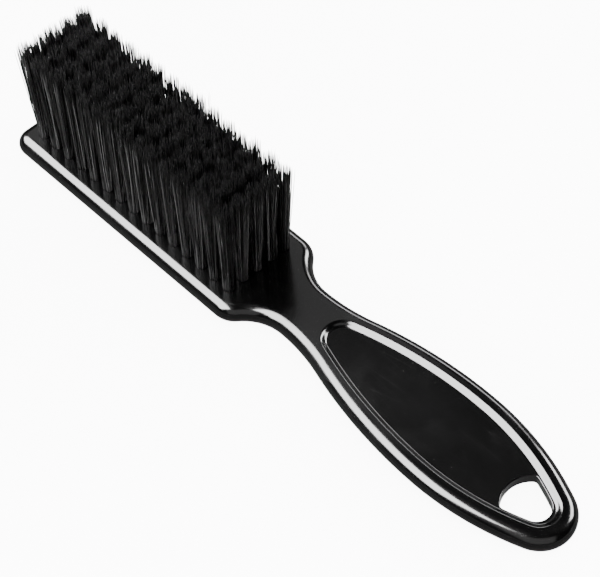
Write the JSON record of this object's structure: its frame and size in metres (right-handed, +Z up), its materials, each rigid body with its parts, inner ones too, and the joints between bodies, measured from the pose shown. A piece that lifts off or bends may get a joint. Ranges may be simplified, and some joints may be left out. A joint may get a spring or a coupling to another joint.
{
  "type": "fade brush",
  "caption": "Flat barber's fade and neck brush: one-piece black handle with sunk oval panel and hanging hole, rectangular head set with upright black nylon tufts on wire anchors.",
  "frame": {"origin": "middle of the brush's bounding box, at its bottom, on the table it lies on", "axes": "+X from the head to the handle, +Z up, the way the bristles point when the brush lies on its back, and Y across the brush, which is the same on both sides"},
  "size_m": [0.181, 0.0312, 0.0374],
  "materials": {
    "moulding": "gloss black moulding",
    "bristle": "black nylon filaments",
    "anchor": "drawn flat wire"
  },
  "bodies": {
    "root": {"handle_body": "moulding", "tuft_row_01": "bristle", "tuft_row_02": "bristle", "tuft_row_03": "bristle", "tuft_row_04": "bristle", "tuft_row_05": "bristle", "tuft_row_06": "bristle", "tuft_row_07": "bristle", "tuft_row_08": "bristle", "tuft_row_09": "bristle", "tuft_row_10": "bristle", "tuft_row_11": "bristle", "tuft_row_12": "bristle", "tuft_row_13": "bristle", "tuft_row_14": "bristle", "tuft_row_15": "bristle", "anchor_row_01": "anchor", "anchor_row_02": "anchor", "anchor_row_03": "anchor", "anchor_row_04": "anchor", "anchor_row_05": "anchor", "anchor_row_06": "anchor", "anchor_row_07": "anchor", "anchor_row_08": "anchor", "anchor_row_09": "anchor", "anchor_row_10": "anchor", "anchor_row_11": "anchor", "anchor_row_12": "anchor", "anchor_row_13": "anchor", "anchor_row_14": "anchor", "anchor_row_15": "anchor"}
  },
  "joints": []
}
